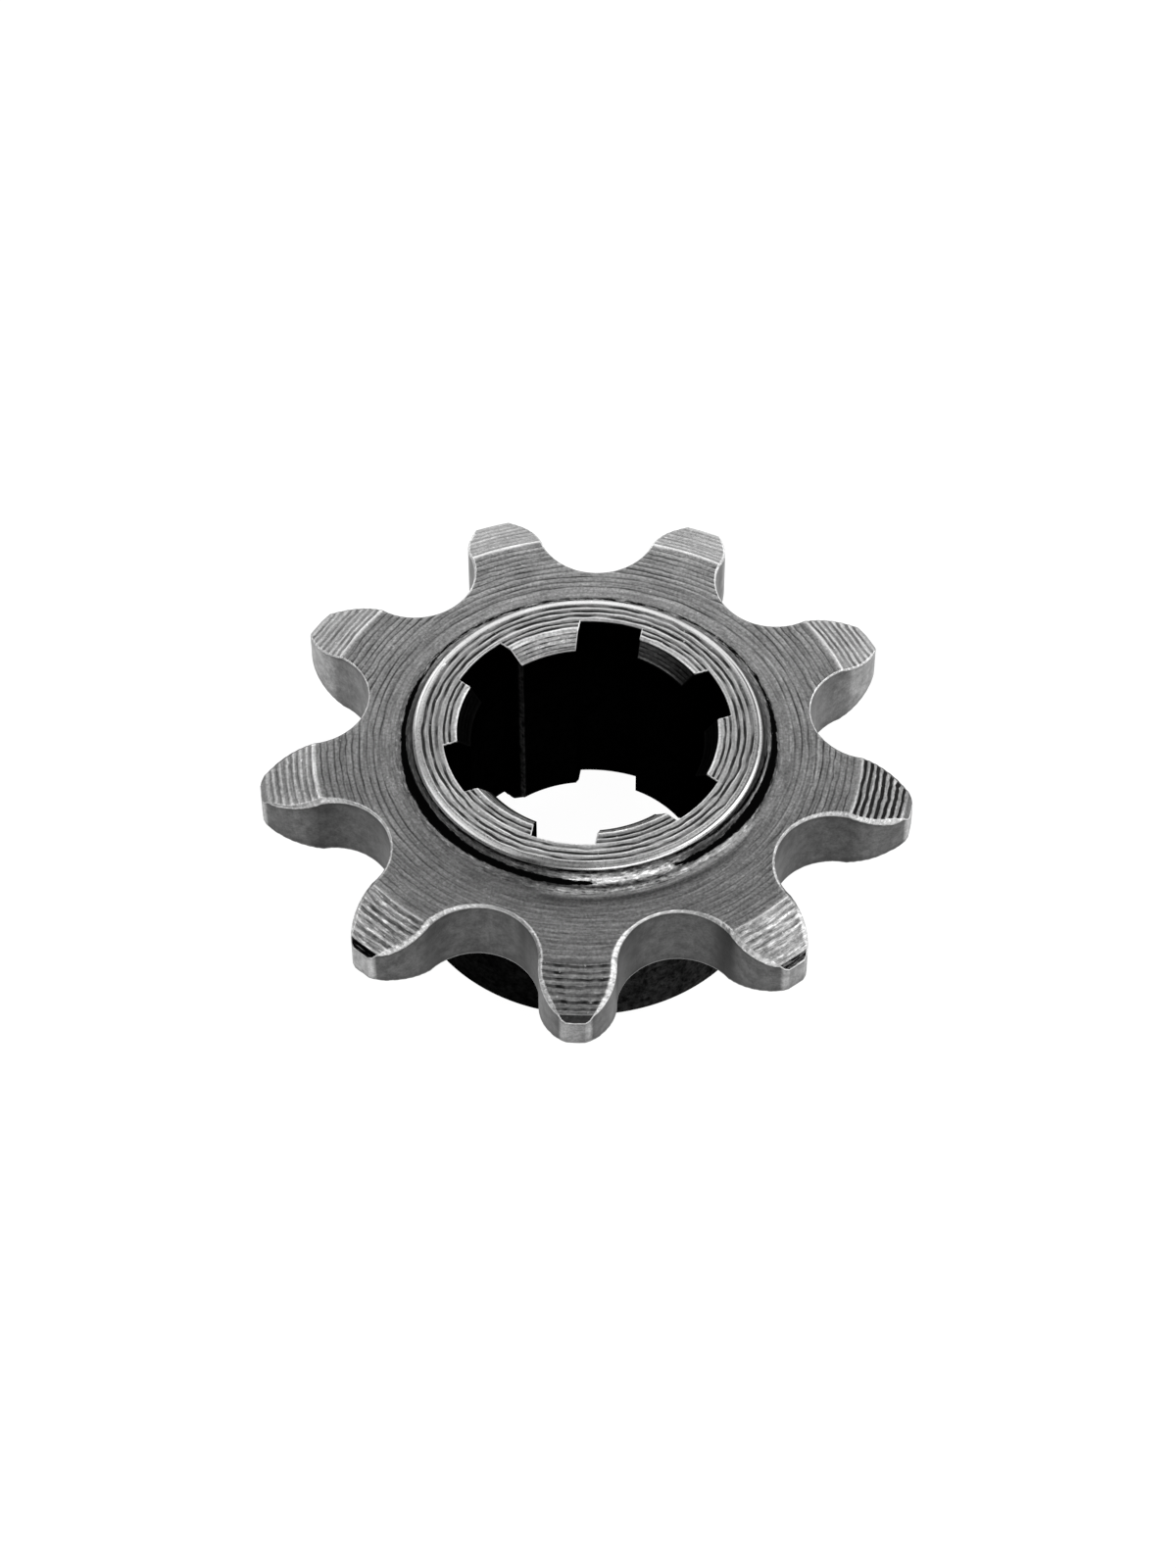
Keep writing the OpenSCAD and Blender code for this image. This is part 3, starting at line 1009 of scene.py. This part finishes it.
def turned_steel():
    """Bare steel as it comes off the lathe: streaks along the cut, dark tool marks, bright worn edges, fine
    grain, and black where the mesh asks for it: residue at the tips, painted shade in the corner round the
    boss."""
    s = Shader("turned_steel")
    mm, polar = polar_place(s)
    streaks = along_noise(s, polar, 9.0, 7.0, 4.0, 0.6)
    threads = along_noise(s, polar, 3.2, 4.4, 3.0, 0.6)
    fading = along_noise(s, polar, 5.0, 1.6, 2.0, 0.5)
    wander = along_noise(s, polar, 13.0, 8.0, 5.0, 0.75)
    shreds = along_noise(s, polar, 28.0, 8.0, 2.0, 0.5)
    grain = s.noise(mm, 5.5, 3.0, 0.6)
    clouds = s.noise(mm, 0.35, 2.0, 0.5)
    specks = s.ramp(s.noise(mm, 3.4, 1.0, 0.4), 0.73, 0.79)

    tone, groove, shine, torn, residue_and_shade = (s.attribute(label) for label in LABELS)

    mark = s.times(s.math("SUBTRACT", groove, 0.1), 1.43)
    mark = s.times(mark, s.ramp(streaks, 0.35, 0.55, 0.7, 1.0))
    mark = s.times(mark, s.ramp(fading, 0.38, 0.56, 0.65, 1.0), clamp=True)
    level = s.times(tone, s.math("SUBTRACT", 1.0, s.times(mark, 0.95)))
    calm = s.times(s.ramp(shine, -0.8, 0.0, 0.3, 1.0), s.ramp(shine, 0.0, 0.9, 1.0, 0.1))
    streak = s.times(s.ramp(streaks, 0.3, 0.7, -0.28, 0.28), s.ramp(calm, 0.1, 0.6, 0.3, 1.0))
    level = s.times(level, s.math("ADD", 1.0, streak))
    speckle = s.times(s.ramp(grain, 0.3, 0.7, -0.36, 0.36), calm)
    level = s.times(level, s.math("ADD", 1.0, speckle))
    thread = s.times(s.ramp(threads, 0.3, 0.7, -0.32, 0.32), calm)
    level = s.times(level, s.math("ADD", 1.0, thread))
    lift = s.times(torn, s.ramp(shreds, 0.55, 0.66, 0.0, 1.2))
    dip = s.times(torn, s.ramp(shreds, 0.45, 0.34, 0.0, 0.6))
    level = s.times(level, s.math("SUBTRACT", s.math("ADD", 1.0, lift), dip))
    level = s.times(level, s.ramp(clouds, 0.35, 0.65, 0.92, 1.08))
    level = s.math("ADD", level, s.times(specks, s.times(tone, 0.8)))

    # Black with ragged ends: residue at the tips, painted shade in the corner round the boss
    ragged = s.times(s.math("SUBTRACT", wander, 0.5), 2.7)
    cover = s.ramp(s.math("ADD", residue_and_shade, ragged), 0.42, 0.58)
    bare = s.math("SUBTRACT", 1.0, cover)
    level = s.math("ADD", s.times(level, bare), s.times(cover, 0.002))

    rough = s.ramp(shine, -1.0, 1.0, 0.52, 0.27)
    rough = s.math("ADD", rough, s.ramp(grain, 0.3, 0.7, -0.04, 0.06))
    rough = s.math("ADD", rough, s.times(mark, 0.14), clamp=True)

    height = s.math("ADD", s.times(streaks, 0.5), s.times(grain, 0.5))
    metal = s.times(s.ramp(tone, 0.0065, 0.047), bare)
    return finish_steel(s, grey(s, level), rough, height, s.times(calm, 0.35), metal, 0.0)


def milled_steel():
    """The cut sides of the teeth: smooth, with soft clouds and faint upright lines from the cutter."""
    s = Shader("milled_steel")
    mm = polar_place(s)[0]
    tone = s.attribute("tone")
    upright = s.node("ShaderNodeVectorMath", {0: mm, 1: (1.6, 1.6, 0.15)}, operation="MULTIPLY").outputs[0]
    lines = s.noise(upright, 2.2, 3.0, 0.5)
    grain = s.noise(mm, 6.0, 3.0, 0.65)
    clouds = s.noise(mm, 1.3, 3.0, 0.6)
    level = s.times(tone, s.ramp(lines, 0.3, 0.7, 0.93, 1.07))
    level = s.times(level, s.ramp(grain, 0.3, 0.7, 0.72, 1.28))
    level = s.times(level, s.ramp(clouds, 0.35, 0.65, 0.75, 1.22))
    rough = s.ramp(grain, 0.3, 0.7, 0.42, 0.52)
    height = s.math("ADD", s.times(lines, 0.4), s.times(grain, 0.6))
    return finish_steel(s, grey(s, level), rough, height, 0.25)


def painted_shade_steel():
    """The bore and the hub: steel painted near black as painted shade, mottled, with faint marks along the
    turning direction.
    """
    s = Shader("painted_shade_steel")
    mm, polar = polar_place(s)
    tone, groove = s.attribute("tone"), s.attribute("groove")
    streaks = along_noise(s, polar, 9.0, 7.0, 4.0, 0.6)
    grain = s.noise(mm, 2.6, 4.0, 0.75)
    clouds = s.noise(mm, 0.7, 3.0, 0.6)
    level = s.times(tone, s.math("SUBTRACT", 1.0, s.times(groove, 0.3)))
    level = s.times(level, s.ramp(streaks, 0.3, 0.7, 0.85, 1.15))
    level = s.times(level, s.ramp(grain, 0.36, 0.64, 0.2, 2.1))
    level = s.times(level, s.ramp(clouds, 0.35, 0.65, 0.65, 1.4))
    rough = s.ramp(grain, 0.3, 0.7, 0.5, 0.62)
    return finish_steel(s, grey(s, level), rough, grain, 0.3, 0.0, 0.0)


# The floor, in metres: how far it reaches each way, and how far it lies below the part
FLOOR_REACH = 3.0
FLOOR_GAP = 0.00002

# Its grey for the light that it throws back, and its darker grey and its glow in the picture itself
FLOOR_GREY = (0.82, 0.82, 0.82, 1)
FLOOR_SEEN = (0.1, 0.1, 0.1, 1)
FLOOR_GLOW = 0.975


def floor_material():
    """Pale matte floor that reads white in the picture and still holds the soft shadow."""
    s = Shader("pale_floor")
    path = s.node("ShaderNodeLightPath").outputs
    bounced = s.math("ADD", path["Is Glossy Ray"], path["Is Transmission Ray"])
    seen = s.math("ADD", path["Is Camera Ray"], bounced, True)
    matte = s.node("ShaderNodeBsdfDiffuse", {"Color": FLOOR_GREY}).outputs[0]
    dim = s.node("ShaderNodeBsdfDiffuse", {"Color": FLOOR_SEEN}).outputs[0]
    glow = s.node("ShaderNodeEmission", {"Color": (1, 1, 1, 1), "Strength": FLOOR_GLOW}).outputs[0]
    both = s.node("ShaderNodeAddShader", {0: dim, 1: glow}).outputs[0]
    return s.finish(s.node("ShaderNodeMixShader", {0: seen, 1: matte, 2: both}))


def add_floor():
    mesh = bpy.data.meshes.new("floor")
    corners = [(x * FLOOR_REACH, y * FLOOR_REACH, 0) for x, y in ((-1, -1), (1, -1), (1, 1), (-1, 1))]
    mesh.from_pydata(corners, [], [(0, 1, 2, 3)])
    floor = bpy.data.objects.new("floor", mesh)
    bpy.context.scene.collection.objects.link(floor)
    floor.location.z = -FLOOR_GAP
    mesh.materials.append(floor_material())


# Light from all round, and the lamps: azimuth (0 is +X and -90 the front) and elevation in degrees,
# distance, width and height in metres, and watts
WORLD_LIGHT = 0.222
LAMPS = {
    "back": (90, 24, 0.15, 0.28, 0.1, 0.171),
    "right": (20, 42, 0.6, 0.35, 0.6, 1.71),
    "left": (165, 55, 0.6, 0.35, 0.35, 0.9),
    "front": (-64, 36, 0.6, 0.7, 0.32, 1.305)}


def add_softbox(name, turn, elevation, distance, width, height, watts):
    """An area lamp that faces the part."""
    data = bpy.data.lights.new(name, "AREA")
    data.shape = "RECTANGLE"
    data.size, data.size_y = width, height
    data.energy = watts
    lamp = bpy.data.objects.new(name, data)
    a, e = math.radians(turn), math.radians(elevation)
    way = Vector((math.cos(e) * math.cos(a), math.cos(e) * math.sin(a), math.sin(e)))
    lamp.location = way * distance + Vector((0, 0, PLATE_Z * MM))
    lamp.rotation_euler = way.to_track_quat("Z", "Y").to_euler()
    lamp.visible_camera = False
    bpy.context.scene.collection.objects.link(lamp)


def add_light():
    world = bpy.data.worlds.new("studio")
    bpy.context.scene.world = world
    world.use_nodes = True
    background = world.node_tree.nodes["Background"].inputs
    background["Color"].default_value = (1, 1, 1, 1)
    background["Strength"].default_value = WORLD_LIGHT
    for name, numbers in LAMPS.items():
        add_softbox(name, *numbers)


# Camera, found from the photograph: angles in degrees, lengths in millimetres from the middle of the plate's
# face, and the focal length in pixels of the photograph
CAMERA_ELEVATION = 51.021
CAMERA_ROLL = -0.096
CAMERA_DISTANCE = 283.58
PART_TURN = -2.073
AIM_X = -0.028
AIM_Y = 2.730
LENS_PIXELS = 4475.9
PHOTO_HEIGHT = 1600
SENSOR_HEIGHT = 36.0

# Nothing nearer to the camera than this, in metres, is drawn
CLIP_START = 0.01


def add_camera():
    e, roll = math.radians(CAMERA_ELEVATION), math.radians(CAMERA_ROLL)
    forward = Vector((0, math.cos(e), -math.sin(e)))
    level_up = Vector((0, math.sin(e), math.cos(e)))
    level_right = Vector((1, 0, 0))
    right = level_right * math.cos(roll) + level_up * math.sin(roll)
    up = level_up * math.cos(roll) - level_right * math.sin(roll)
    place = -(right * AIM_X + up * AIM_Y + forward * CAMERA_DISTANCE)
    axes = Matrix((right, up, -forward)).transposed().to_4x4()
    spin = Matrix.Rotation(math.radians(-PART_TURN), 4, "Z")
    lift = Matrix.Translation(Vector((0, 0, PLATE_Z * MM)))
    data = bpy.data.cameras.new("camera")
    data.sensor_fit = "VERTICAL"
    data.sensor_height = SENSOR_HEIGHT
    data.lens = SENSOR_HEIGHT * LENS_PIXELS / PHOTO_HEIGHT
    data.clip_start = CLIP_START
    camera = bpy.data.objects.new("camera", data)
    camera.matrix_world = lift @ spin @ Matrix.Translation(place * MM) @ axes
    bpy.context.scene.collection.objects.link(camera)
    bpy.context.scene.camera = camera


add_camera()
add_light()
add_floor()
sprocket = to_object(build_sprocket(), "sprocket_skin")
for steel in (turned_steel, milled_steel, painted_shade_steel):
    sprocket.data.materials.append(steel())
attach(sprocket, "root")
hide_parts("sprocket")
bpy.context.scene.view_settings.view_transform = "Standard"
